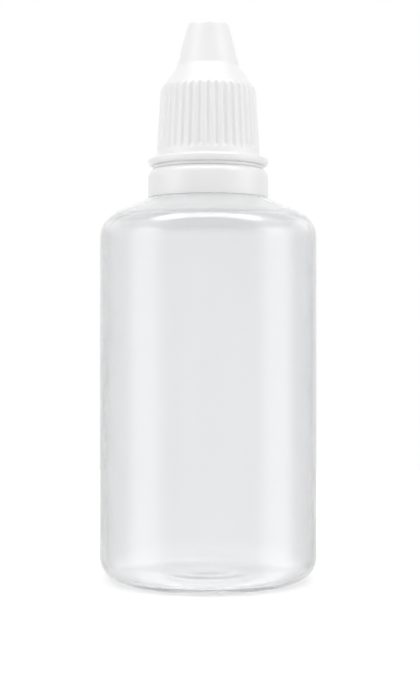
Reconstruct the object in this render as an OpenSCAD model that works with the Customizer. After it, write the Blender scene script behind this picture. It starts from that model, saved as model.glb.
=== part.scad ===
// Squeeze dropper bottle for eye drops: a cylindrical bottle with a threaded neck, a nozzle plug in the
// neck, a ribbed screw cap with a tall cone, and a tamper ring under the cap.
// Millimetres, Z up. The origin is the centre of the base, on the surface that the bottle stands on.

/* [Body] */
// Outside diameter of the body
body_d = 32; // [30:0.5:36]
// Height at which the straight side ends and the shoulder's corner starts
side_top = 50.3; // [40:0.1:60]
// Wall thickness of the body, the shoulder and the base
wall_t = 0.9; // [0.7:0.05:1.1]
// Radius of the rounded heel between base and side
heel_r = 3.5; // [2.4:0.1:4]
// Radius of the rounded corner between side and shoulder
shoulder_r = 4.3; // [3.4:0.1:5]
// Slope of the shoulder above the horizontal, in degrees
shoulder_slope = 23.5; // [18:0.5:28]

/* [Base] */
// Diameter of the hollow in the middle of the base
hollow_d = 14; // [12:0.5:18]
// Diameter of the deeper centre of that hollow
hollow_centre_d = 8.4; // [6:0.2:9]
// Depth of each of the hollow's two steps
hollow_step = 0.45; // [0.2:0.05:0.7]

/* [Neck] */
// Outside diameter of the threaded neck, at the thread's root
neck_d = 11; // [10.6:0.1:11.2]
// Diameter of the neck's bore
neck_bore_d = 8.6; // [8.2:0.1:8.8]
// Height of the neck from the shoulder to its rim
neck_h = 13.65; // [13.4:0.05:14]
// Diameter of the neck's thicker foot, inside the tamper ring
neck_foot_d = 13; // [12.6:0.1:13.2]
// Wall thickness of that foot
neck_foot_wall = 1.4; // [1.2:0.1:1.6]
// Diameter of the locking bead that holds the tamper ring
bead_d = 14.6; // [14.4:0.1:14.8]
// Height of the locking bead's widest edge above the shoulder
bead_up = 2.55; // [2.4:0.05:2.6]

/* [Thread] */
// Rise of the thread in one turn
thread_pitch = 3; // [2.8:0.1:3.2]
// Turns of thread on the neck
neck_turns = 1.6; // [1.2:0.1:1.8]
// Distance from the neck's rim down to the middle of the thread's upper end
thread_below = 1.95; // [1.4:0.05:2]
// Turns of thread in the cap
cap_turns = 1.2; // [0.8:0.1:1.4]
// Height of both threads' ridges
thread_depth = 0.5; // [0.4:0.02:0.5]
// Gap between a ridge's crest and the wall it runs past
crest_gap = 0.2; // [0.15:0.01:0.25]
// Gap between the flanks of the two threads when the cap is closed
flank_gap = 0.12; // [0.1:0.01:0.2]

/* [Cap] */
// Diameter of the cap's bottom flange
flange_d = 17.74; // [17.4:0.02:18.2]
// Thickness of the flange
flange_t = 1; // [0.8:0.05:1.3]
// Height of the cap from its bottom face to its flat top
cap_h = 20.95; // [20:0.05:23]
// Diameter of the ribbed skirt at its foot
skirt_foot_d = 15.2; // [15:0.1:15.6]
// Diameter of the ribbed skirt at its top
skirt_top_d = 14.1; // [14:0.1:14.6]
// Height of the skirt's top above the cap's bottom face
skirt_top_up = 10.7; // [10.4:0.1:11]
// Diameter at the foot of the cap's cone
cone_foot_d = 9.4; // [9:0.1:9.8]
// Height of the cone's foot above the cap's bottom face
cone_foot_up = 14.5; // [14.2:0.1:15]
// Diameter of the cone's flat top
cone_top_d = 6; // [5.8:0.1:6.4]
// Wall thickness of the cone
cone_wall = 0.95; // [0.8:0.05:1]
// Thickness of the cap's flat top
top_t = 1.25; // [1:0.05:1.3]
// Number of grip ribs
rib_count = 38; // [24:1:44]
// Depth of the grooves between the ribs
groove_depth = 0.3; // [0.2:0.02:0.34]

/* [Tamper ring] */
// How far the ring's outside stands in from the cap's flange
ring_inset = 0; // [0:0.02:0.2]
// Height of the ring without its web
ring_h = 4.15; // [4:0.05:4.3]
// Thickness of the web that joins the ring to the cap until the bottle is first opened
web_t = 0.22; // [0.16:0.02:0.3]
// Height of the web, which is the gap between ring and cap
web_h = 0.5; // [0.4:0.05:0.6]

/* [Nozzle] */
// Length of the plug below the neck's rim
plug_l = 6.5; // [5.6:0.1:8]
// Diameter of the nozzle at its foot
nozzle_foot_d = 6.8; // [6.4:0.1:7]
// Diameter of the nozzle at its tip
nozzle_tip_d = 3.5; // [3.2:0.1:3.6]
// Gap between the nozzle's tip and the cap's ceiling
head_room = 1.44; // [1.3:0.02:2]
// Diameter of the drop channel
channel_d = 0.6; // [0.4:0.05:0.8]

/* [Hidden] */
$fn = 96;

// Small broken edge on the moulded pieces
edge = 0.2;

// Body: radii about the axis and heights above the base
body_r = body_d / 2;
heel_mid_r = body_r - heel_r;
corner_mid_r = body_r - shoulder_r;
slope_start_r = corner_mid_r + shoulder_r * sin(shoulder_slope);
slope_start_z = side_top + shoulder_r * cos(shoulder_slope);
flange_r = flange_d / 2;
land_r = flange_r;
land_z = slope_start_z + (slope_start_r - land_r) * tan(shoulder_slope);
hollow_r = hollow_d / 2;
hollow_centre_r = hollow_centre_d / 2;
hollow_draft = 0.35;

// Neck
neck_r = neck_d / 2;
bore_r = neck_bore_d / 2;
foot_r = neck_foot_d / 2;
foot_bore_r = foot_r - neck_foot_wall;
foot_flare = 0.6;
rim_z = land_z + neck_h;
bead_r = bead_d / 2;
bead_z = land_z + bead_up;
bead_ramp = 0.4;
bead_land = 0.5;
bead_fall = 1.2;

// Tamper ring, held loosely between the shoulder and the locking bead
ring_r = flange_r - ring_inset;
ring_seat_gap = 0.14;
ring_z = land_z + ring_seat_gap;
ring_top_z = ring_z + ring_h;
ring_bore_gap = 0.2;
ring_bore_r = bead_r + ring_bore_gap;
web_r = ring_bore_r + web_t;
ring_corner_w = min(1.05, 0.92 * (ring_r - web_r));
ring_corner_h = 1.4;
lip_gap = 0.35;
lip_r = foot_r + lip_gap;
lip_below_bead = 0.31;
lip_top_z = bead_z - bead_ramp - lip_below_bead;
lip_h = 1;
lip_ramp = 0.55;

// Cap
cap_z = ring_top_z + web_h;
cap_top_z = cap_z + cap_h;
ceiling_z = cap_top_z - top_t;
cap_bore_r = neck_r + thread_depth + crest_gap;
flare_h = 0.8;
flare_w = 0.5;
skirt_foot_r = skirt_foot_d / 2;
skirt_foot_z = cap_z + flange_t + flare_h;
skirt_top_r = skirt_top_d / 2;
skirt_top_z = cap_z + skirt_top_up;
skirt_lean = atan((skirt_foot_r - skirt_top_r) / (skirt_top_z - skirt_foot_z));
cone_foot_r = cone_foot_d / 2;
cone_foot_z = cap_z + cone_foot_up;
cone_top_r = cone_top_d / 2;
shoulder_arc_r = 1.6;
shoulder_arc_from = 3;
shoulder_arc_to = 32;
blend_l = 0.7;
groove_r = 0.42;
groove_skin = 0.1;
groove_cut = min(groove_depth, skirt_top_r - cap_bore_r - groove_skin);
groove_foot_up = 0.3;
groove_run_out = 1.6;

// Nozzle plug, pressed into the neck by its two sealing beads
plug_gap = 0.05;
plug_press = 0.05;
plug_r = bore_r - plug_gap;
plug_bead_r = bore_r + plug_press;
plug_wall = 0.85;
plug_bore_r = plug_r - plug_wall;
plug_lead_h = 0.6;
plug_lead_w = 0.3;
plug_bead_depths = [4.1, 1.1];
plug_bead_land = 0.4;
plug_bead_ramp = 0.3;
collar_t = 0.8;
collar_inset = 0.3;
collar_r = neck_r - collar_inset;
nozzle_foot_r = nozzle_foot_d / 2;
nozzle_tip_r = nozzle_tip_d / 2;
nozzle_fillet = 0.3;
nozzle_top_z = ceiling_z - head_room;
channel_r = channel_d / 2;
channel_l = 1.6;
channel_mouth_w = 0.55;
cavity_taper = 0.4;
cavity_top_r = plug_bore_r - cavity_taper;
cavity_bend_depth = 1.2;
cup_h = 1;
cup_rim_w = 0.6;
cup_r = nozzle_tip_r - cup_rim_w;
cup_slope = (cup_r - channel_r) / cup_h;
cup_foot_z = nozzle_top_z - cup_h;

// Step inside the cap, which clears the plug's collar
collar_gap = 0.1;
step_w = 0.6;
step_z = rim_z + collar_t + collar_gap;

// Threads: the cap's thread bears on the underside of the neck's thread, and starts at its own height
root_w = 1.3;
crest_w = 0.7;
bury = 0.3;
end_sink = 0.06;
steps_per_turn = 36;
ramp_steps = 4;
cap_thread_up = 1.1775;
flank_slope = (root_w - crest_w) / 2 / (thread_depth + bury);
neck_thread_z = rim_z - thread_below - neck_turns * thread_pitch;
thread_drop = root_w - flank_slope * (thread_depth + crest_gap + 2 * bury) + flank_gap;
cap_thread_start = (cap_z + cap_thread_up - neck_thread_z + thread_drop) / thread_pitch;

// Spigot under the cap's ceiling, which closes the nozzle's cup
pin_gap = 0.12;
pin_shoulder_w = 0.05;
pin_r = cup_r - pin_gap - pin_shoulder_w;
pin_tip_w = 0.15;
pin_tip_r = channel_r + pin_tip_w;

// Points of an arc about [x, y], from one angle to another
function arc(x, y, r, from, to, steps = 8) =
    [for (i = [0:steps]) let (a = from + (to - from) * i / steps) [x + r * cos(a), y + r * sin(a)]];

// Points of a smooth bend at corner c, starting and ending at the given length from it towards a and b
function bend(a, c, b, reach, steps = 6) =
    let (start = c + reach * (a - c) / norm(a - c), end = c + reach * (b - c) / norm(b - c))
    [for (i = [0:steps]) let (t = i / steps) (1 - t) ^ 2 * start + 2 * t * (1 - t) * c + t ^ 2 * end];

// Share of a thread's full height at one step: it rises from nothing at either end
function ridge(i, last) = min(1, i / ramp_steps, (last - i) / ramp_steps);

// A thread's cross section at one step, as four points turned about the axis and lifted with the turn.
// The ridge stands outwards on a neck, where side is 1, and inwards in a cap, where side is -1.
function thread_ring(i, last, root_r, side) =
    let (
        turn = 360 * i / steps_per_turn,
        rise = thread_pitch * i / steps_per_turn,
        buried_r = root_r - side * bury,
        crest_r = root_r + side * (ridge(i, last) * (thread_depth + end_sink) - end_sink),
        section = [[buried_r, -root_w / 2], [crest_r, -crest_w / 2], [crest_r, crest_w / 2], [buried_r, root_w / 2]]
    )
    [for (p = section) [p[0] * cos(turn), p[0] * sin(turn), rise + p[1]]];

// Faces of a wall of four-point rings, as outward triangles, with both ends closed
function ring_faces(last) = concat(
    [[0, 3, 2], [0, 2, 1]],
    [for (i = [0:last - 1], k = [0:3])
        let (a = 4 * i + k, b = 4 * i + (k + 1) % 4)
        each [[a, b, b + 4], [a, b + 4, a + 4]]],
    [[4 * last, 4 * last + 1, 4 * last + 2], [4 * last, 4 * last + 2, 4 * last + 3]]
);

// A screw thread as one closed solid, wound round the Z axis from z = 0
module thread(root_r, turns, side) {
    last = round(turns * steps_per_turn);
    points = [for (i = [0:last]) each thread_ring(i, last, root_r, side)];
    faces = ring_faces(last);
    turned_faces = [for (f = faces) [f[0], f[2], f[1]]];
    polyhedron(points = points, faces = side > 0 ? faces : turned_faces);
}

// Outline of the bottle's outside, from the middle of the base up to the rim
function bottle_outside() = concat(
    [
        [0, 2 * hollow_step],
        [hollow_centre_r - hollow_draft, 2 * hollow_step],
        [hollow_centre_r, hollow_step],
        [hollow_r - hollow_draft, hollow_step],
        [hollow_r, 0]
    ],
    arc(heel_mid_r, heel_r, heel_r, -90, 0),
    arc(corner_mid_r, side_top, shoulder_r, 0, 90 - shoulder_slope, 10),
    [
        [land_r, land_z],
        [foot_r, land_z],
        [foot_r, bead_z - bead_ramp],
        [bead_r, bead_z],
        [bead_r, bead_z + bead_land],
        [neck_r + bead_ramp, bead_z + bead_fall],
        [neck_r, bead_z + bead_fall + bead_ramp],
        [neck_r, rim_z - edge],
        [neck_r - edge, rim_z]
    ]
);

// Outline of the bottle's inside, from the rim down to the middle of the base
function bottle_inside() = concat(
    [
        [bore_r + edge, rim_z],
        [bore_r, rim_z - 2 * edge],
        [bore_r, bead_z + bead_fall],
        [foot_bore_r, bead_z - foot_flare],
        [foot_bore_r, land_z],
        [foot_bore_r + foot_flare, land_z - foot_flare],
        [land_r - foot_flare, land_z - wall_t * (1 + tan(shoulder_slope)) + foot_flare * tan(shoulder_slope)]
    ],
    arc(corner_mid_r, side_top, shoulder_r - wall_t, 90 - shoulder_slope, 0, 10),
    arc(heel_mid_r, heel_r, heel_r - wall_t, 0, -90),
    [
        [hollow_r, wall_t],
        [hollow_r - hollow_draft, wall_t + hollow_step],
        [hollow_centre_r, wall_t + hollow_step],
        [hollow_centre_r - hollow_draft, wall_t + 2 * hollow_step],
        [0, wall_t + 2 * hollow_step]
    ]
);

module bottle() {
    color([0.88, 0.9, 0.93, 0.5])
    union() {
        rotate_extrude()
            polygon(concat(bottle_outside(), bottle_inside()));
        translate([0, 0, neck_thread_z])
            thread(neck_r, neck_turns, 1);
    }
}

// Outline of one sealing bead round the plug, at the given depth below the rim
function plug_bead(depth) =
    let (z = rim_z - depth, half = plug_bead_land / 2)
    [
        [plug_r, z - half - plug_bead_ramp],
        [plug_bead_r, z - half],
        [plug_bead_r, z + half],
        [plug_r, z + half + plug_bead_ramp]
    ];

module dropper_tip() {
    color([0.93, 0.94, 0.96])
    rotate_extrude()
        polygon(concat(
            [
                [plug_bore_r, rim_z - plug_l],
                [plug_r - plug_lead_w, rim_z - plug_l],
                [plug_r, rim_z - plug_l + plug_lead_h]
            ],
            [for (depth = plug_bead_depths) each plug_bead(depth)],
            [
                [plug_r, rim_z],
                [collar_r, rim_z],
                [collar_r, rim_z + collar_t - edge],
                [collar_r - edge, rim_z + collar_t],
                [nozzle_foot_r + nozzle_fillet, rim_z + collar_t],
                [nozzle_foot_r, rim_z + collar_t + nozzle_fillet],
                [nozzle_tip_r, nozzle_top_z - edge],
                [nozzle_tip_r - edge, nozzle_top_z],
                [cup_r, nozzle_top_z],
                [channel_r, cup_foot_z],
                [channel_r, cup_foot_z - channel_l],
                [channel_r + channel_mouth_w, cup_foot_z - channel_l - channel_mouth_w],
                [cavity_top_r, rim_z],
                [plug_bore_r, rim_z - cavity_bend_depth]
            ]
        ));
}

module tamper_ring() {
    color([0.93, 0.93, 0.93])
    rotate_extrude()
        polygon(concat(
            [
                [ring_bore_r, ring_z],
                [ring_r - edge, ring_z],
                [ring_r, ring_z + edge]
            ],
            [for (p = arc(0, 0, 1, 0, 90))
                [ring_r + ring_corner_w * (p[0] - 1), ring_top_z + ring_corner_h * (p[1] - 1)]],
            [
                [web_r, ring_top_z],
                [web_r, cap_z],
                [ring_bore_r, cap_z],
                [ring_bore_r, lip_top_z],
                [lip_r, lip_top_z - edge],
                [lip_r, lip_top_z - lip_h + lip_ramp],
                [ring_bore_r, lip_top_z - lip_h]
            ]
        ));
}

// Outline of the cap's outside from its bottom face up: the flange, a flared foot, a tapered skirt, a
// rounded shoulder that bends into the cone, and the cone's broken edge
function cap_outside() =
    let (
        shoulder = arc(skirt_top_r - shoulder_arc_r, skirt_top_z, shoulder_arc_r,
            shoulder_arc_from, shoulder_arc_to, 5),
        cone_foot = [cone_foot_r, cone_foot_z],
        cone_top = [cone_top_r, cap_top_z]
    )
    concat(
        [
            [flange_r - edge, cap_z],
            [flange_r, cap_z + edge],
            [flange_r, cap_z + flange_t - edge],
            [flange_r - edge, cap_z + flange_t]
        ],
        bend([flange_r, cap_z + flange_t], [skirt_foot_r, cap_z + flange_t], [skirt_foot_r, skirt_foot_z], flare_w),
        [[skirt_foot_r, skirt_foot_z]],
        shoulder,
        bend(shoulder[5], cone_foot, cone_top, blend_l),
        [
            [cone_top_r + edge * (cone_foot_r - cone_top_r) / (cap_top_z - cone_foot_z), cap_top_z - edge],
            [cone_top_r - edge, cap_top_z]
        ]
    );

// Radius inside the cap's cone at a height
function cone_bore(z) =
    cone_foot_r - cone_wall - (cone_foot_r - cone_top_r) * (z - cone_foot_z) / (cap_top_z - cone_foot_z);

// Outline of the cap's inside from the top down: ceiling, cone, step over the plug's collar, threaded bore
function cap_inside() = [
    [0, ceiling_z],
    [cone_bore(ceiling_z), ceiling_z],
    [cone_bore(cone_foot_z), cone_foot_z],
    [cap_bore_r - step_w - edge, step_z + 2 * step_w],
    [cap_bore_r - step_w, step_z],
    [cap_bore_r, step_z - edge],
    [cap_bore_r, cap_z + edge],
    [cap_bore_r + edge, cap_z]
];

// One round groove of the grip, leaning in with the skirt's taper
module grip_groove() {
    translate([skirt_foot_r + groove_r - groove_cut, 0, skirt_foot_z + groove_foot_up])
        rotate([0, -skirt_lean, 0])
            cylinder(h = skirt_top_z - skirt_foot_z + groove_run_out, r = groove_r, $fn = 24);
}

module cap() {
    color([0.97, 0.97, 0.97])
    union() {
        difference() {
            rotate_extrude()
                polygon(concat([[0, cap_top_z]], cap_inside(), cap_outside()));
            for (i = [0:rib_count - 1])
                rotate(360 * i / rib_count - 90)
                    grip_groove();
        }
        translate([0, 0, cap_z + cap_thread_up])
            rotate(360 * cap_thread_start)
                thread(cap_bore_r, cap_turns, -1);
    }
}

module cap_seal_pin() {
    tip_z = cup_foot_z + (pin_tip_r + pin_gap - channel_r) / cup_slope;
    neck_z = cup_foot_z + (pin_r + pin_gap - channel_r) / cup_slope;
    color([0.97, 0.97, 0.97])
    rotate_extrude()
        polygon([[0, tip_z], [pin_tip_r, tip_z], [pin_r, neck_z], [pin_r, ceiling_z], [0, ceiling_z]]);
}

bottle();
dropper_tip();
tamper_ring();
cap();
cap_seal_pin();
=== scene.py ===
# Eye drop bottle: a squeezable natural bottle, the nozzle plug in its neck, a ribbed white cap with a
# tall cone, and the tamper ring below it. Metres, Z up, the middle of the base at the origin.
import bpy
import numpy as np
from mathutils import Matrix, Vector


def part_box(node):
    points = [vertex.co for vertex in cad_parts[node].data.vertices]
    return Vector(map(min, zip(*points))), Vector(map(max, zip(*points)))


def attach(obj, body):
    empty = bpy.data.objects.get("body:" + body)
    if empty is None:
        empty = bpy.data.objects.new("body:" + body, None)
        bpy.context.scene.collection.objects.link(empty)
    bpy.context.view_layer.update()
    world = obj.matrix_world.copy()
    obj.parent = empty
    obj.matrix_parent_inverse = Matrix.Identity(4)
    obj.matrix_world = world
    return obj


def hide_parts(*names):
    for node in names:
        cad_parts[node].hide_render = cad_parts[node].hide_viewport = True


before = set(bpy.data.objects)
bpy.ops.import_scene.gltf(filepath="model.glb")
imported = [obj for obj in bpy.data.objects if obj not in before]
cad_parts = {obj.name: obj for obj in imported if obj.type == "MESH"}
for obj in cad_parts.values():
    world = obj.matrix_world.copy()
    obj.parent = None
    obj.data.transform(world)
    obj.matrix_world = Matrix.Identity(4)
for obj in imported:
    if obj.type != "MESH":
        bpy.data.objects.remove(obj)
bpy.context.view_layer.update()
mm = 0.001
# Levels closer than this many millimetres count as the same
nearly = 0.001
print("frame loaded:", ", ".join(sorted(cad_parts)))

# Shapes shared by the turned pieces

# How outlines are rounded: "straight" is how near half a corner's angle is to a right angle when the corner
# is left alone, "reach" is the largest share of a neighbouring line that an arc takes up, and "turn" is how
# many degrees one piece of an arc turns through at most. A ring of less than poleRadius metres is one point.
rounded = {"straight": 0.004, "reach": 0.49, "turn": 13}
poleRadius = 1e-9


# One corner of a turned outline, rounded: the arc of this radius that touches the straight lines to the
# neighbouring points, at centre + radius * (direction turning evenly from one touching point to the other)
def roundedCorner(before, corner, after, radius, step):
    toBefore, toAfter = before - corner, after - corner
    longBefore, longAfter = np.hypot(*toBefore), np.hypot(*toAfter)
    toBefore, toAfter = toBefore / longBefore, toAfter / longAfter
    half = np.arccos(np.clip(toBefore @ toAfter, -1, 1)) / 2
    if radius <= 0 or half > np.pi / 2 - rounded["straight"]:
        return corner[None]
    reach = min(radius / np.tan(half), rounded["reach"] * min(longBefore, longAfter))
    radius = reach * np.tan(half)
    inward = (toBefore + toAfter) / np.hypot(*(toBefore + toAfter))
    centre = corner + inward * radius / np.sin(half)
    first, last = corner + toBefore * reach - centre, corner + toAfter * reach - centre
    span = np.pi - 2 * half
    pieces = 2 + int(max(span / np.radians(rounded["turn"]), span * radius / step))
    t = np.linspace(0, 1, pieces)[:, None]
    return centre + (np.sin((1 - t) * span) * first + np.sin(t * span) * last) / np.sin(span)


# A turned outline from (radius, height, rounding) rows in millimetres: rounded corners joined by straight
# runs, which are cut into pieces no longer than step. A closed outline comes back to its first corner.
def turnedOutline(corners, step, closed=False):
    table = np.array(corners, float)
    points, rounding = table[:, :2], table[:, 2]
    before, after = np.roll(points, 1, 0), np.roll(points, -1, 0)
    arcs = [roundedCorner(b, p, a, r, step) for b, p, a, r in zip(before, points, after, rounding)]
    if not closed:
        arcs[0], arcs[-1] = points[:1], points[-1:]
    ends = arcs[1:] + arcs[:1] if closed else arcs[1:]
    path = []
    for arc, following in zip(arcs, ends):
        gap = np.hypot(*(following[0] - arc[-1]))
        t = np.linspace(0, 1, 1 + int(np.ceil(gap / step)))[1:-1, None]
        path += [arc, arc[-1] + t * (following[0] - arc[-1])]
    if not closed:
        path.append(arcs[-1])
    return np.concatenate(path) * mm


# A mesh from arrays of points, four-sided faces and three-sided faces
def meshFrom(name, points, quads, triangles):
    mesh = bpy.data.meshes.new(name)
    corners = np.concatenate([quads.ravel(), triangles.ravel()]).astype(np.int32)
    starts = np.concatenate([4 * np.arange(len(quads)), 4 * len(quads) + 3 * np.arange(len(triangles))])
    mesh.vertices.add(len(points))
    mesh.vertices.foreach_set("co", np.ascontiguousarray(points, np.float32).ravel())
    mesh.loops.add(len(corners))
    mesh.loops.foreach_set("vertex_index", corners)
    mesh.polygons.add(len(starts))
    mesh.polygons.foreach_set("loop_start", starts.astype(np.int32))
    mesh.polygons.foreach_set("use_smooth", np.ones(len(starts), bool))
    mesh.update(calc_edges=True)
    mesh.validate()
    return mesh


# Even angles once round the axis, as one row
def evenAngles(columns):
    return np.linspace(0, 2 * np.pi, columns, endpoint=False)[None]


# Points and faces of a surface turned about the Z axis. Row i is a ring: x = radius cos(angle),
# y = radius sin(angle), z = height. A ring of no radius is one point, and closed joins the last ring
# to the first. The outline runs up the outside, so that the faces look outwards.
def turnedArrays(radius, height, angle, closed=False):
    columns = radius.shape[1]
    pole = radius.max(1) < poleRadius
    firsts = np.concatenate([[0], np.cumsum(np.where(pole, 1, columns))])
    index = firsts[:-1, None] + np.where(pole[:, None], 0, np.arange(columns))
    rings = np.stack([radius * np.cos(angle), radius * np.sin(angle), height], -1)
    keep = ~pole[:, None] | (np.arange(columns) == 0)
    points = rings[keep]
    lower, upper = index, np.roll(index, -1, 0)
    lowerPole, upperPole = pole, np.roll(pole, -1)
    if not closed:
        lower, upper, lowerPole, upperPole = lower[:-1], upper[:-1], lowerPole[:-1], upperPole[:-1]
    lowerNext, upperNext = np.roll(lower, -1, 1), np.roll(upper, -1, 1)
    whole = ~lowerPole & ~upperPole
    quads = np.stack([lower, lowerNext, upperNext, upper], -1)[whole].reshape(-1, 4)
    fans = [np.stack([lower, upperNext, upper], -1)[lowerPole].reshape(-1, 3),
            np.stack([lower, lowerNext, upper], -1)[upperPole].reshape(-1, 3)]
    return points, quads, np.concatenate(fans)


# A surface that is the same all the way round, straight from its outline
def turnedEvenly(outline, columns, closed=False):
    angle = evenAngles(columns)
    flat = np.zeros_like(angle)
    return turnedArrays(outline[:, :1] + flat, outline[:, 1:] + flat, angle, closed)


# A finished piece: its mesh, its material, the body it rides on and the node it stands for. The slot's name,
# slotName, is not used.
def addPiece(name, points, quads, triangles, material, body, node, slotName):
    piece = bpy.data.objects.new(name, meshFrom(name, points, quads, triangles))
    piece.data.materials.append(material)
    bpy.context.scene.collection.objects.link(piece)
    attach(piece, body)
    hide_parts(node)
    print(name, "made:", len(quads) * 2 + len(triangles), "triangles")


# Smaller of two arrays, with the crossing rounded over the width k: min(a, b) - max(k - |a - b|, 0)^2 / 4k
def softMin(a, b, k):
    return np.minimum(a, b) - np.maximum(k - np.abs(a - b), 0) ** 2 / (4 * k)


# 0 before the start, 1 after the end, and 3t^2 - 2t^3 between them
def easeBetween(value, start, end):
    t = np.clip((value - start) / (end - start), 0, 1)
    return t * t * (3 - 2 * t)


# Height of a right-handed screw thread's ridge above its root, over angle and height. The turn number is
# (height - start) / pitch - angle / 2 pi, rounded to a whole lap; the ridge is a trapezium across its
# middle line with eased flanks, and it grows from nothing over the first and last part of a turn.
def threadRidge(angle, height, start, thread):
    wound = angle / (2 * np.pi)
    lap = np.round((height - start) / thread["pitch"] - wound)
    along = lap + wound
    offset = np.abs(height - start - along * thread["pitch"])
    flank = 1 - easeBetween(offset, thread["crest"] / 2, thread["root"] / 2)
    ends = easeBetween(np.minimum(along, thread["turns"] - along), 0, thread["fade"])
    return thread["depth"] * flank * ends


# Materials

# A node tree's small helpers
class Nodes:
    def __init__(self, name):
        self.material = bpy.data.materials.new(name)
        self.material.use_nodes = True
        self.tree = self.material.node_tree
        self.shader = self.tree.nodes["Principled BSDF"]
        self.output = self.tree.nodes["Material Output"]
        self.place = self.add("ShaderNodeTexCoord").outputs["Object"]

    def add(self, kind, values=(), **settings):
        node = self.tree.nodes.new(kind)
        for key, value in settings.items():
            setattr(node, key, value)
        for key, value in dict(values).items():
            node.inputs[key].default_value = value
        return node

    def link(self, source, target):
        self.tree.links.new(source, target)

    # Noise over the piece in its own metres, each axis stretched by its share of the scale
    def noise(self, scale, detail=3, stretch=(1, 1, 1), roughness=0.55):
        mapping = self.add("ShaderNodeMapping", {"Scale": stretch})
        texture = self.add("ShaderNodeTexNoise", {"Scale": scale, "Detail": detail, "Roughness": roughness})
        self.link(self.place, mapping.inputs["Vector"])
        self.link(mapping.outputs["Vector"], texture.inputs["Vector"])
        return texture.outputs["Fac"]

    # Height over the surface that the bottle stands on
    def height(self):
        split = self.add("ShaderNodeSeparateXYZ")
        self.link(self.place, split.inputs[0])
        return split.outputs["Z"]

    # A value spread from one range onto another; a noise lies mostly between 0.3 and 0.7
    def spread(self, source, low, high, fromLow=0.3, fromHigh=0.7):
        node = self.add("ShaderNodeMapRange", {"From Min": fromLow, "From Max": fromHigh,
                                               "To Min": low, "To Max": high})
        self.link(source, node.inputs["Value"])
        return node.outputs["Result"]

    # The shader's colour, from the first to the second as the noise rises
    def colour(self, noise, first, second):
        node = self.add("ShaderNodeMix", data_type="RGBA")
        node.inputs["A"].default_value = (*first, 1)
        node.inputs["B"].default_value = (*second, 1)
        self.link(noise, node.inputs["Factor"])
        self.link(node.outputs["Result"], self.shader.inputs["Base Color"])

    # The shader's roughness, from low to high as the noise rises
    def roughness(self, noise, low, high):
        self.link(self.spread(noise, low, high), self.shader.inputs["Roughness"])

    # Fine relief for the shader's normal: strength * depth metres, over another relief if there is one
    def relief(self, source, depth, strength, under=None):
        node = self.add("ShaderNodeBump", {"Distance": depth, "Strength": strength})
        self.link(source, node.inputs["Height"])
        if under is not None:
            self.link(under, node.inputs["Normal"])
        return node.outputs["Normal"]

    # The grain that a blasted or polished mould leaves, as the shader's normal
    def grain(self, look, under=None):
        fine = self.noise(look["grainScale"], detail=2)
        bumps = self.relief(fine, look["grainDepth"], look["grainStrength"], under)
        self.link(bumps, self.shader.inputs["Normal"])


# Natural squeeze-bottle plastic: mostly see-through, a little milky, and milkier from the thicker shoulder
# top upwards. It has slow flow streaks along the height and a fine blasted-mould grain. Its roughness stays
# below 0.27, where the renderer's denoiser begins to treat it as matt.
naturalWall = {
    "milk": (0.943, 0.946, 0.954), "milkFlow": (0.956, 0.958, 0.965), "through": 0.93,
    "index": 1.2, "roughLow": 0.18, "roughHigh": 0.26, "gloss": 1.0, "glossRough": 0.1, "glossIndex": 1.5,
    "absorbTint": (0.66, 0.70, 0.76), "absorbDensity": 20.0,
    "neckThrough": 0.42, "neckLevels": (0.0527, 0.0537),
    "streakScale": 260, "streakStretch": (1, 1, 0.12), "streakDepth": 16e-6, "streakStrength": 0.5,
    "cloudScale": 182, "cloudStretch": (1, 1, 0.6),
    "grainScale": 5200, "grainDepth": 4e-6, "grainStrength": 0.6,
}


def naturalWallMaterial(name, look):
    nodes = Nodes(name)
    shader = nodes.shader
    streaks = nodes.noise(look["streakScale"], stretch=look["streakStretch"])
    clouds = nodes.noise(look["cloudScale"], detail=2, stretch=look["cloudStretch"])
    nodes.colour(nodes.spread(streaks, 0, 1), look["milk"], look["milkFlow"])
    nodes.roughness(clouds, look["roughLow"], look["roughHigh"])
    nodes.grain(look, nodes.relief(streaks, look["streakDepth"], look["streakStrength"]))
    shader.inputs["IOR"].default_value = look["index"]
    nodes.link(nodes.spread(nodes.height(), look["through"], look["neckThrough"], *look["neckLevels"]),
               shader.inputs["Transmission Weight"])
    shader.inputs["Coat Weight"].default_value = look["gloss"]
    shader.inputs["Coat Roughness"].default_value = look["glossRough"]
    shader.inputs["Coat IOR"].default_value = look["glossIndex"]
    volume = nodes.add("ShaderNodeVolumeAbsorption", {"Density": look["absorbDensity"]})
    volume.inputs["Color"].default_value = (*look["absorbTint"], 1)
    nodes.link(volume.outputs["Volume"], nodes.output.inputs["Volume"])
    return nodes.material


# White moulded plastic: even white with a faint cloudiness, satin gloss that varies slowly, fine grain
whiteMoulding = {
    "white": (0.925, 0.925, 0.927), "whiteFlow": (0.938, 0.937, 0.936),
    "roughLow": 0.31, "roughHigh": 0.37, "index": 1.49,
    "bleed": 0.15, "bleedRadius": (1.0, 0.95, 0.9), "bleedScale": 0.0008,
    "flowScale": 180, "flowStretch": (1, 1, 0.4), "patchScale": 540,
    "grainScale": 6500, "grainDepth": 3e-6, "grainStrength": 0.6,
}


def whiteMouldingMaterial(name, look):
    nodes = Nodes(name)
    shader = nodes.shader
    flow = nodes.noise(look["flowScale"], stretch=look["flowStretch"])
    patches = nodes.noise(look["patchScale"])
    nodes.colour(nodes.spread(flow, 0, 1), look["white"], look["whiteFlow"])
    nodes.roughness(patches, look["roughLow"], look["roughHigh"])
    nodes.grain(look)
    shader.inputs["IOR"].default_value = look["index"]
    shader.inputs["Subsurface Weight"].default_value = look["bleed"]
    shader.inputs["Subsurface Radius"].default_value = look["bleedRadius"]
    shader.inputs["Subsurface Scale"].default_value = look["bleedScale"]
    return nodes.material


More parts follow.
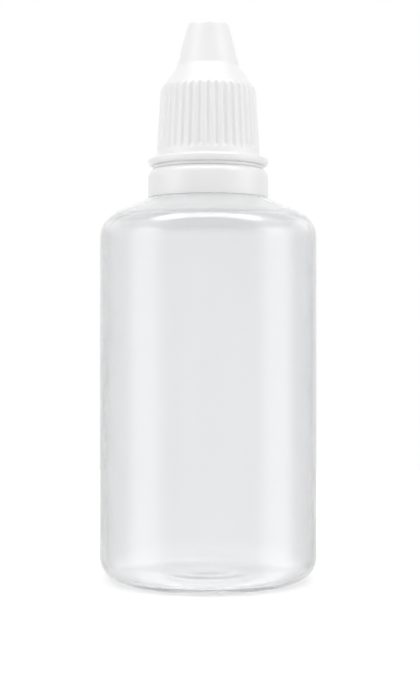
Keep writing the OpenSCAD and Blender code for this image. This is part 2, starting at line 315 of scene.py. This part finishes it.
# Natural plug plastic: cloudier than the bottle, since it is thicker and moulded, not blown. It is
# smoothest where it is palest.
naturalPlug = {
    "milk": (0.90, 0.905, 0.912), "milkFlow": (0.93, 0.933, 0.938), "through": 0.2,
    "index": 1.51, "roughLow": 0.30, "roughHigh": 0.38,
    "bleed": 0.3, "bleedRadius": (1, 1, 1), "bleedScale": 0.0015, "flowScale": 420,
    "grainScale": 6000, "grainDepth": 3e-6, "grainStrength": 0.6,
}


def naturalPlugMaterial(name, look):
    nodes = Nodes(name)
    shader = nodes.shader
    flow = nodes.noise(look["flowScale"])
    nodes.colour(nodes.spread(flow, 0, 1), look["milk"], look["milkFlow"])
    nodes.roughness(flow, look["roughHigh"], look["roughLow"])
    nodes.grain(look)
    shader.inputs["IOR"].default_value = look["index"]
    shader.inputs["Transmission Weight"].default_value = look["through"]
    shader.inputs["Subsurface Weight"].default_value = look["bleed"]
    shader.inputs["Subsurface Radius"].default_value = look["bleedRadius"]
    shader.inputs["Subsurface Scale"].default_value = look["bleedScale"]
    return nodes.material


bottleFinish = naturalWallMaterial("naturalBottleWall", naturalWall)
capFinish = whiteMouldingMaterial("whiteMoulding", whiteMoulding)
plugFinish = naturalPlugMaterial("naturalPlug", naturalPlug)
print("materials made")

# Levels taken from the solids, in millimetres
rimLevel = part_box("bottle")[1].z / mm
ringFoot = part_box("tamper_ring")[0].z / mm
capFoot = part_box("cap")[0].z / mm
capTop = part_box("cap")[1].z / mm
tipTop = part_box("dropper_tip")[1].z / mm
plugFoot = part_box("dropper_tip")[0].z / mm
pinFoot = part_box("cap_seal_pin")[0].z / mm
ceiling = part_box("cap_seal_pin")[1].z / mm

# Bottle. Sizes are in millimetres. The pairs under seam and waver are the heights over which each fades in
# from the foot and out at the top.
bottle = {
    "bodyRadius": 16.0, "wall": 0.9, "heel": 3.5, "shoulderRound": 4.3, "cornerLevel": 53.12,
    "landRadius": 8.87, "landLevel": rimLevel - 13.65, "underLand": (0.6, 1.03), "underCorner": 0.59,
    "neckRadius": 5.5, "neckUp": 1.6, "boreRadius": 4.3, "boreSlope": 0.6,
    "footRadius": 6.5, "footBore": 5.1, "footFlare": 0.6,
    "beadRadius": 7.3, "beadUp": 2.55, "beadUnder": 0.4, "beadTall": 0.5, "beadSlope": (0.4, 1.2),
    "hollowRadius": 7.0, "hollowCentre": 4.2, "hollowStep": 0.28, "hollowSlope": 0.6, "hollowRound": 0.8,
    "seamHeight": 0.03, "seamWidth": 0.22, "seamFoot": (0.4, 2.0), "seamTop": (54.6, 56.0), "seamFrom": 8.0,
    "waver": 0.035, "waverFoot": (2.5, 6.0), "waverTop": (50.0, 54.5), "columns": 200, "step": 0.42,
}
neckThread = {
    "pitch": 3.0, "turns": 1.6, "depth": 0.5, "root": 1.075, "crest": 0.6, "fade": 0.11,
    "topDown": 1.95, "above": 60.0, "within": 0.05,
}


# The outside runs from the middle of the base up to the rim, and the inside from the rim down to the base
def bottleOutline(b):
    land, bead, wall, deep = b["landLevel"], b["landLevel"] + b["beadUp"], b["wall"], b["hollowStep"]
    hollow, centre, neck, bore = b["hollowRadius"], b["hollowCentre"], b["neckRadius"], b["boreRadius"]
    slope, soft = b["hollowSlope"], b["hollowRound"]
    beadOut, beadOver = b["beadSlope"]
    landIn, landDown = b["underLand"]
    outside = [
        (0, 2 * deep, 0), (centre - slope, 2 * deep, soft), (centre, deep, soft),
        (hollow - slope, deep, soft), (hollow, 0, soft), (b["bodyRadius"], 0, b["heel"]),
        (b["bodyRadius"], b["cornerLevel"], b["shoulderRound"]),
        (b["landRadius"], land, 0.5), (b["footRadius"], land, 0.3),
        (b["footRadius"], bead - b["beadUnder"], 0.1), (b["beadRadius"], bead, 0.15),
        (b["beadRadius"], bead + b["beadTall"], 0.15), (neck + beadOut, bead + beadOver, 0.15),
        (neck, bead + b["neckUp"], 0.3), (neck, rimLevel, 0.2),
    ]
    inside = [
        (bore, rimLevel, 0.2), (bore, bead + beadOver, 0.5), (b["footBore"], bead - b["boreSlope"], 0.5),
        (b["footBore"], land, 0.4), (b["footBore"] + b["footFlare"], land - b["footFlare"], 0.5),
        (b["landRadius"] - landIn, land - landDown, 1.2),
        (b["bodyRadius"] - wall, b["cornerLevel"] - b["underCorner"], b["shoulderRound"] - wall),
        (b["bodyRadius"] - wall, wall, b["heel"] - wall),
        (hollow, wall, soft), (hollow - slope, wall + deep, soft), (centre, wall + deep, soft),
        (centre - slope, wall + 2 * deep, soft), (0, wall + 2 * deep, 0),
    ]
    return turnedOutline(outside, b["step"]), turnedOutline(inside, b["step"])


# How far the blown wall wavers at an angle and a level: slow sines of both, over the sum of their sizes
def slowWaver(angle, level):
    return (np.sin(3 * angle + 0.13 * level) + 0.7 * np.sin(5 * angle - 0.21 * level + 1.1)
            + 0.6 * np.sin(0.32 * level + 2 * np.sin(angle))) / 2.3


# The bottle's wall is turned from its outline. The neck carries the thread's ridge. The mould's parting
# line stands up both sides: away from it the body lies inwards by height * (1 - exp(-(distance / width)^2)).
# The inner wall wavers by a few hundredths of a millimetre, as blown plastic does.
def makeBottle(b):
    outside, inside = bottleOutline(b)
    angle = evenAngles(b["columns"])
    r, z = outside[:, :1], outside[:, 1:]
    threadStart = rimLevel - neckThread["topDown"] - neckThread["turns"] * neckThread["pitch"]
    onNeck = (np.abs(r - b["neckRadius"] * mm) < neckThread["within"] * mm) & (z > neckThread["above"] * mm)
    radius = r + np.zeros_like(angle)
    radius += onNeck * threadRidge(angle, z / mm, threadStart, neckThread) * mm
    away = np.minimum(np.abs(np.sin(angle / 2)), np.abs(np.cos(angle / 2))) * 2 * r / mm
    onBody = easeBetween(z / mm, *b["seamFoot"]) * (1 - easeBetween(z / mm, *b["seamTop"]))
    onBody = onBody * (r > b["seamFrom"] * mm)
    radius -= onBody * b["seamHeight"] * mm * (1 - np.exp(-(away / b["seamWidth"]) ** 2))
    innerR, innerZ = inside[:, :1], inside[:, 1:]
    free = easeBetween(innerZ / mm, *b["waverFoot"]) * (1 - easeBetween(innerZ / mm, *b["waverTop"]))
    innerRadius = innerR + free * b["waver"] * mm * slowWaver(angle, innerZ / mm)
    height = np.concatenate([z, innerZ]) + np.zeros_like(angle)
    return turnedArrays(np.concatenate([radius, innerRadius]), height, angle)


addPiece("bottleWall", *makeBottle(bottle), bottleFinish, "bottle", "bottle", "clear_squeeze_wall")

# Nozzle plug, in millimetres
plug = {
    "bore": 3.4, "outside": 4.25, "leadIn": (0.3, 0.6), "throat": (0.4, 1.2),
    "beadRadius": 4.34, "beadDepths": (4.1, 1.1), "beadFlat": 0.2, "beadFoot": 0.5,
    "collar": 5.2, "collarHeight": 0.8, "nozzleFoot": 3.4, "nozzleTip": 1.75,
    "cup": 1.15, "cupDepth": 1.0, "channel": 0.3, "channelLong": 1.6, "funnel": 0.55,
    "columns": 128, "step": 0.3,
}


# Rows of a sealing bead round the plug, its middle this deep under the rim
def sealBead(p, depth):
    rows = ((p["outside"], -p["beadFoot"]), (p["beadRadius"], -p["beadFlat"]),
            (p["beadRadius"], p["beadFlat"]), (p["outside"], p["beadFoot"]))
    return [(radius, rimLevel - depth + up, 0.15) for radius, up in rows]


def plugOutline(p):
    low, high = p["beadDepths"]
    leadIn, leadUp = p["leadIn"]
    throatIn, throatDown = p["throat"]
    shelf, cupFoot = rimLevel + p["collarHeight"], tipTop - p["cupDepth"]
    channelFoot = cupFoot - p["channelLong"]
    return turnedOutline([
        (p["bore"], plugFoot, 0.15), (p["outside"] - leadIn, plugFoot, 0.1),
        (p["outside"], plugFoot + leadUp, 0.2), *sealBead(p, low), *sealBead(p, high),
        (p["outside"], rimLevel, 0), (p["collar"], rimLevel, 0.12), (p["collar"], shelf, 0.22),
        (p["nozzleFoot"], shelf, 0.5), (p["nozzleTip"], tipTop, 0.25),
        (p["cup"], tipTop, 0.08), (p["channel"], cupFoot, 0.1), (p["channel"], channelFoot, 0.3),
        (p["channel"] + p["funnel"], channelFoot - p["funnel"], 0.3),
        (p["bore"] - throatIn, rimLevel, 1.5), (p["bore"], rimLevel - throatDown, 1.0),
    ], p["step"], closed=True)


# The plug is one closed outline turned about the axis
nozzlePlug = turnedEvenly(plugOutline(plug), plug["columns"], closed=True)
addPiece("nozzlePlug", *nozzlePlug, plugFinish, "bottle", "dropper_tip", "natural_nozzle")

# Tamper ring, in millimetres
ring = {
    "outside": 8.87, "bore": 7.5, "height": 4.15, "topWide": 1.05, "topTall": 1.4, "topPoints": 13,
    "web": 8.15, "footDrop": 0.12, "lip": 6.85, "lipUp": 1.7, "lipHeight": 1.0, "lipEdges": (0.2, 0.45),
    "overTop": 0.04, "underWeb": 0.1,
    "tears": 24, "tearDepth": 0.05, "tearEdges": (0.2, 1.0), "columns": 192, "step": 0.3,
}


# The ring's outline: its top edge is a quarter of an ellipse, the web stands inside it, and its foot comes
# down by footDrop to all but touch the shoulder
def ringOutline(g):
    top, foot = ringFoot + g["height"], ringFoot - g["footDrop"]
    lipTop = ringFoot + g["lipUp"]
    lipUpper, lipLower = g["lipEdges"]
    topEdge = [(g["outside"] + g["topWide"] * (np.cos(a) - 1), top + g["topTall"] * (np.sin(a) - 1), 0)
               for a in np.radians(np.linspace(0, 90, g["topPoints"]))]
    return turnedOutline([
        (g["bore"], foot, 0.15), (g["outside"], foot, 0.12), *topEdge, (g["web"], top, 0.06),
        (g["web"], capFoot, 0), (g["bore"], capFoot, 0), (g["bore"], lipTop, 0.1),
        (g["lip"], lipTop - lipUpper, 0.08), (g["lip"], lipTop - lipLower, 0.08),
        (g["bore"], lipTop - g["lipHeight"], 0.1),
    ], g["step"], closed=True)


# The ring is one closed outline turned about the axis. Small tears notch the web from outside at even
# steps round it: the radius there falls by depth * (eased top of a cosine of the angle)
def makeRing(g):
    outline = ringOutline(g)
    angle = evenAngles(g["columns"])
    aboveTop = outline[:, 1:] > (ringFoot + g["height"] + g["overTop"]) * mm
    onWeb = aboveTop & (outline[:, :1] > (g["web"] - g["underWeb"]) * mm)
    tears = easeBetween(np.cos(angle * g["tears"]), *g["tearEdges"])
    radius = outline[:, :1] - onWeb * g["tearDepth"] * mm * tears
    return turnedArrays(radius, outline[:, 1:] + np.zeros_like(angle), angle, closed=True)


addPiece("tamperRing", *makeRing(ring), capFinish, "tamper_ring", "tamper_ring", "white_cap")

# Screw cap. Sizes are in millimetres, and heights are measured up from the flange's foot.
cap = {
    "flange": 8.87, "flangeHeight": 1.0, "flare": 0.8,
    "skirtFoot": 7.6, "skirtTop": 7.05, "skirtTopUp": 10.7,
    "shoulderRound": 1.6, "shoulderSpan": (3, 32), "shoulderPoints": 6,
    "coneFoot": 4.7, "coneFootUp": 14.5, "coneTop": 3.0, "coneWall": 0.95,
    "bore": 6.2, "ledgeUp": rimLevel + 0.9 - capFoot, "ledge": 0.6, "overLedge": (0.8, 1.2),
    "ribs": 38, "grooveRadius": 0.42, "grooveDepth": 0.3, "grooveFootUp": 2.1, "grooveFade": (-0.12, 0.2),
    "grooveAway": 2.0, "crestRound": 0.09, "ribbed": (1.2, 2.5),
    "gateRadius": 0.7, "gateDepth": 0.12, "bottomFrom": 0.5, "columnsPerRib": 12, "step": 0.33,
}
capThread = {
    "pitch": 3.0, "turns": 1.2, "depth": 0.5, "root": 1.075, "crest": 0.6, "fade": 0.11,
    "up": 1.1775, "within": 0.02,
}


# The outline goes from the middle of the ceiling down the inside and up the outside to the middle of the
# top. The bore of the cone leans as its outside does.
def capOutline(c):
    middle, up = c["skirtTop"] - c["shoulderRound"], capFoot + c["skirtTopUp"]
    shoulder = [(middle + c["shoulderRound"] * np.cos(a), up + c["shoulderRound"] * np.sin(a), 0)
                for a in np.radians(np.linspace(*c["shoulderSpan"], c["shoulderPoints"]))]
    lean = (c["coneFoot"] - c["coneTop"]) / (capTop - capFoot - c["coneFootUp"])
    coneBore = c["coneFoot"] - c["coneWall"]
    coneFoot = capFoot + c["coneFootUp"]
    flangeTop = capFoot + c["flangeHeight"]
    ledge = capFoot + c["ledgeUp"]
    overIn, overUp = c["overLedge"]
    return turnedOutline([
        (0, ceiling, 0), (coneBore - lean * (ceiling - coneFoot), ceiling, 0.3), (coneBore, coneFoot, 2.0),
        (c["bore"] - overIn, ledge + overUp, 0.4), (c["bore"] - c["ledge"], ledge, 0.05),
        (c["bore"], ledge, 0.15), (c["bore"], capFoot, 0.2), (c["flange"], capFoot, 0.45),
        (c["flange"], flangeTop, 0.25), (c["skirtFoot"], flangeTop, 0.55),
        (c["skirtFoot"], flangeTop + c["flare"], 0.2),
        *shoulder, (c["coneFoot"], coneFoot, 2.2), (c["coneTop"], capTop, 0.3), (0, capTop, 0),
    ], c["step"])


# Radius of the bottom of a grip groove at an angle and height. The groove is the side of a slim upright
# cylinder that leans with the skirt: R cos(d) - sqrt(g^2 - R^2 sin^2(d)), where R is the cylinder's
# distance from the axis at that height, g its radius and d the angle to it; beside the cylinder there is
# no groove. Under the grooves' foot it moves away outwards.
def grooveRadius(c, angle, level):
    foot, top = c["flangeHeight"] + c["flare"], c["skirtTopUp"]
    surface = c["skirtFoot"] + (c["skirtTop"] - c["skirtFoot"]) * (level - capFoot - foot) / (top - foot)
    reach = surface + c["grooveRadius"] - c["grooveDepth"]
    pitch = 2 * np.pi / c["ribs"]
    away = (angle + np.pi / 2 + pitch / 2) % pitch - pitch / 2
    inside = c["grooveRadius"] ** 2 - (reach * np.sin(away)) ** 2
    groove = reach * np.cos(away) - np.sqrt(np.maximum(inside, 0))
    start, end = (capFoot + c["grooveFootUp"] + over for over in c["grooveFade"])
    return np.where(inside > 0, groove, reach) + c["grooveAway"] * (1 - easeBetween(level, start, end))


# The cap is turned from one outline. Its inside gets the thread's ridge and its outside the grip's grooves,
# and a shallow dish in the middle of its top, depth * (1 - (r / radius)^2)^2, marks the moulding gate
def makeCap(c):
    outline = capOutline(c)
    angle = evenAngles(c["ribs"] * c["columnsPerRib"]) - np.pi / 2
    r, z = outline[:, :1] / mm, outline[:, 1:] / mm
    row = np.arange(len(outline))[:, None]
    bottomRow = np.argmax((z[:, 0] < capFoot + nearly) & (r[:, 0] > c["bore"] + c["bottomFrom"]))
    inner, outer = row < bottomRow, row > bottomRow
    threaded = inner & (np.abs(r - c["bore"]) < capThread["within"])
    radius = r - threaded * threadRidge(angle, z, capFoot + capThread["up"], capThread)
    grooved = softMin(radius, grooveRadius(c, angle, z), c["crestRound"])
    overFlange, overSkirt = c["ribbed"]
    ribbed = outer & (z > capFoot + overFlange) & (z < capFoot + c["skirtTopUp"] + overSkirt)
    radius = np.where(ribbed, grooved, radius)
    height = z + np.zeros_like(angle)
    gate = outer & (z > capTop - nearly) & (r < c["gateRadius"])
    height = height - gate * c["gateDepth"] * (1 - np.minimum(r / c["gateRadius"], 1) ** 2) ** 2
    return turnedArrays(radius * mm, height * mm, angle)


addPiece("screwCap", *makeCap(cap), capFinish, "cap", "cap", "white_cap")

# Spigot under the cap's ceiling, in millimetres: a small stub turned about the axis, tapered at its foot to
# fit the nozzle's cup
spigot = {"radius": 0.98, "tip": 0.45, "shoulderUp": 0.6235, "columns": 64, "step": 0.12}
spigotOutline = turnedOutline([
    (0, pinFoot, 0), (spigot["tip"], pinFoot, 0.06),
    (spigot["radius"], pinFoot + spigot["shoulderUp"], 0.15), (spigot["radius"], ceiling, 0), (0, ceiling, 0),
], spigot["step"])
capSpigot = turnedEvenly(spigotOutline, spigot["columns"])
addPiece("capSpigot", *capSpigot, capFinish, "cap_carrier", "cap_seal_pin", "white_cap")

# Floor, light and camera. Sizes are in metres. In the studio, names that end in Edges, Front, Back, Foot,
# Top or End hold the two values between which a light comes up or fades.
stand = {
    "rings": (0, 0.02, 0.05, 0.1, 0.18), "columns": 96, "cloudScale": 60, "rough": 0.9, "glow": 0.36,
    "shade": (0.80, 0.80, 0.80), "shadeFlow": (0.81, 0.81, 0.81),
}
studio = {
    "ambient": 0.78, "front": 0.36, "back": 1.0, "backEdges": (0.2, 1.15), "topShare": 0.8,
    "leastRise": 0.001, "table": 1.0, "tableEdges": (-0.18, -0.35), "through": 0.965,
    "topShine": 1.0, "topEdges": (0.12, 0.4), "tableShine": 0.05, "shineEdges": (-0.09, -0.17),
    "skew": 0.07, "panelFront": (-0.82, -0.47), "panelBack": (-0.26, 0.16),
    "panel": 1.7, "panelOver": 1.4, "panelTop": (0.3, 0.5), "rightShare": 0.07,
    "panelGlow": 1.8, "glowFoot": (0.04, 0.18), "glowTop": (0.22, 0.42), "glowBack": (-0.34, -0.12),
    "strip": 8.0, "stripBack": (0.10, 0.24), "stripFront": (0.52, 0.70), "stripEnd": (0.6, 1.3),
}
lamps = {
    "wingAngle": 66, "wingDistance": 0.40, "wingFoot": 0.005,
    "wingWide": 0.20, "wingTall": 0.50, "wingPower": 0.65,
    "barAway": -0.095, "barLevel": 0.50, "barAim": 0.05,
    "barLong": 0.92, "barWide": 0.12, "barPower": 1.4,
}
view = {"place": (0.000266, -0.21441, 0.03563), "lens": 77.22, "sensor": 36.0, "nearest": 0.01}


# Small helpers for node trees: 1 for rays of one kind, a socket fed with a number or a link, a sum, product
# or the like, a blend from the first value to the second, and an eased step from low to high between edges
def rayKind(tree, name):
    return tree.nodes.new("ShaderNodeLightPath").outputs[name]


def feed(tree, socket, value):
    if isinstance(value, (int, float)):
        socket.default_value = value
    else:
        tree.links.new(value, socket)


def combine(tree, operation, first, second=0.0):
    node = tree.nodes.new("ShaderNodeMath")
    node.operation = operation
    feed(tree, node.inputs[0], first)
    feed(tree, node.inputs[1], second)
    return node.outputs[0]


def blend(tree, factor, first, second):
    node = tree.nodes.new("ShaderNodeMix")
    for key, value in {"Factor": factor, "A": first, "B": second}.items():
        feed(tree, node.inputs[key], value)
    return node.outputs["Result"]


def easedStep(tree, source, start, end, low=0.0, high=1.0):
    node = tree.nodes.new("ShaderNodeMapRange")
    node.interpolation_type = "SMOOTHSTEP"
    for key, value in {"Value": source, "From Min": start, "From Max": end,
                       "To Min": low, "To Max": high}.items():
        feed(tree, node.inputs[key], value)
    return node.outputs["Result"]


# The floor is a pale round table top: x = r cos(angle), y = r sin(angle), with a glow for the rays that
# come straight from the camera, so that it reads as white and keeps its shadow. Rays that plastic
# reflects or lets through go past it to the white studio.
def makeFloor(s):
    angle = evenAngles(s["columns"])
    radius = np.array(s["rings"])[:, None] + 0 * angle
    points, quads, triangles = turnedArrays(radius, 0 * radius, angle)
    floor = bpy.data.objects.new("floor", meshFrom("floor", points, quads[:, ::-1], triangles[:, ::-1]))
    bpy.context.scene.collection.objects.link(floor)
    nodes = Nodes("paleFloor")
    nodes.colour(nodes.noise(s["cloudScale"]), s["shade"], s["shadeFlow"])
    nodes.shader.inputs["Roughness"].default_value = s["rough"]
    nodes.shader.inputs["Specular IOR Level"].default_value = 0.0
    nodes.shader.inputs["Emission Color"].default_value = (1, 1, 1, 1)
    nodes.link(combine(nodes.tree, "MULTIPLY", rayKind(nodes.tree, "Is Camera Ray"), s["glow"]),
               nodes.shader.inputs["Emission Strength"])
    floor.data.materials.append(nodes.material)
    floor.visible_glossy = floor.visible_transmission = False


# What glossy plastic reflects, by direction (x, y, z) with the camera at -y: dark in front, lighter walls
# towards the back and the top, the white table below, a tall panel on either side that is brightest a
# little above the horizon, and a strip light above in front. A panel's two upright edges go by the compass
# direction alone, skewed a little.
def reflectedStudio(tree, s, x, y, z):
    def add(first, second):
        return combine(tree, "ADD", first, second)

    def times(first, second):
        return combine(tree, "MULTIPLY", first, second)

    def over(first, second):
        return combine(tree, "DIVIDE", first, second)

    def rise(source, edges, low=0.0, high=1.0):
        return easedStep(tree, source, *edges, low, high)

    above = combine(tree, "MAXIMUM", z, s["leastRise"])
    walls = rise(add(y, times(above, s["topShare"])), s["backEdges"], s["front"], s["back"])
    walls = combine(tree, "MAXIMUM", walls, rise(z, s["tableEdges"], 0.0, s["table"]))
    across = combine(tree, "SQRT", add(times(x, x), times(y, y)))
    towards = over(add(y, times(x, -s["skew"])), across)
    towards = add(towards, -s["skew"])
    panel = times(rise(towards, s["panelFront"]), rise(towards, s["panelBack"], 1.0, 0.0))
    panel = times(panel, add(times(x, s["rightShare"]), 1.0))
    glow = times(rise(z, s["glowFoot"]), rise(z, s["glowTop"], 1.0, 0.0))
    glow = times(glow, rise(towards, s["glowBack"], 1.0, 0.0))
    height = add(rise(z, s["panelTop"], s["panel"], s["panelOver"]), times(glow, s["panelGlow"]))
    lean = over(times(y, -1.0), above)
    aside = over(combine(tree, "ABSOLUTE", x), above)
    strip = times(rise(lean, s["stripBack"]), rise(lean, s["stripFront"], 1.0, 0.0))
    strip = times(strip, rise(aside, s["stripEnd"], s["strip"], 0.0))
    return add(add(walls, times(panel, height)), strip)


# The studio: white for rays from the camera and through plastic, which is twice as strong overhead and a
# little stronger below, softboxes on grey walls for reflections, and even soft light for everything else
def makeWorld(s):
    world = bpy.data.worlds.new("studio")
    bpy.context.scene.world = world
    world.use_nodes = True
    tree = world.node_tree
    background = tree.nodes["Background"]
    background.inputs["Color"].default_value = (1, 1, 1, 1)
    direction = tree.nodes.new("ShaderNodeSeparateXYZ")
    tree.links.new(tree.nodes.new("ShaderNodeTexCoord").outputs["Generated"], direction.inputs[0])
    upward = direction.outputs["Z"]
    overhead = easedStep(tree, upward, *s["topEdges"], s["through"], s["through"] + s["topShine"])
    beyond = combine(tree, "ADD", overhead, easedStep(tree, upward, *s["shineEdges"], 0.0, s["tableShine"]))
    reflected = reflectedStudio(tree, s, *direction.outputs)
    strength = blend(tree, rayKind(tree, "Is Glossy Ray"), s["ambient"], reflected)
    strength = blend(tree, rayKind(tree, "Is Transmission Ray"), strength, beyond)
    strength = blend(tree, rayKind(tree, "Is Camera Ray"), strength, 1.0)
    tree.links.new(strength, background.inputs["Strength"])


# A rectangular softbox of even brightness that faces a point: its power is brightness * area * pi. It only
# lights things: what gloss shows of the studio is in the world above.
def makeSoftbox(name, place, target, wide, tall, brightness):
    light = bpy.data.lights.new(name, "AREA")
    light.shape, light.size, light.size_y = "RECTANGLE", wide, tall
    light.energy = brightness * wide * tall * np.pi
    lamp = bpy.data.objects.new(name, light)
    bpy.context.scene.collection.objects.link(lamp)
    lamp.location = place
    lamp.rotation_euler = (Vector(target) - Vector(place)).to_track_quat("-Z", "Y").to_euler()
    lamp.visible_camera = lamp.visible_glossy = lamp.visible_transmission = False


def makeCamera(v):
    camera = bpy.data.objects.new("camera", bpy.data.cameras.new("camera"))
    camera.data.lens, camera.data.sensor_width = v["lens"], v["sensor"]
    camera.data.clip_start = v["nearest"]
    camera.location = v["place"]
    camera.rotation_euler = (np.pi / 2, 0, 0)
    bpy.context.scene.collection.objects.link(camera)
    bpy.context.scene.camera = camera


makeFloor(stand)
makeWorld(studio)
for side, label in ((-1, "left"), (1, "right")):
    turn = np.radians(lamps["wingAngle"]) * side
    middle = lamps["wingTall"] / 2 + lamps["wingFoot"]
    place = (np.sin(turn) * lamps["wingDistance"], -np.cos(turn) * lamps["wingDistance"], middle)
    makeSoftbox(label + "Wing", place, (0, 0, middle),
                lamps["wingWide"], lamps["wingTall"], lamps["wingPower"])
makeSoftbox("topBar", (0, lamps["barAway"], lamps["barLevel"]), (0, 0, lamps["barAim"]),
            lamps["barLong"], lamps["barWide"], lamps["barPower"])
makeCamera(view)
bpy.context.scene.view_settings.view_transform = "Standard"
print("floor, light and camera made")
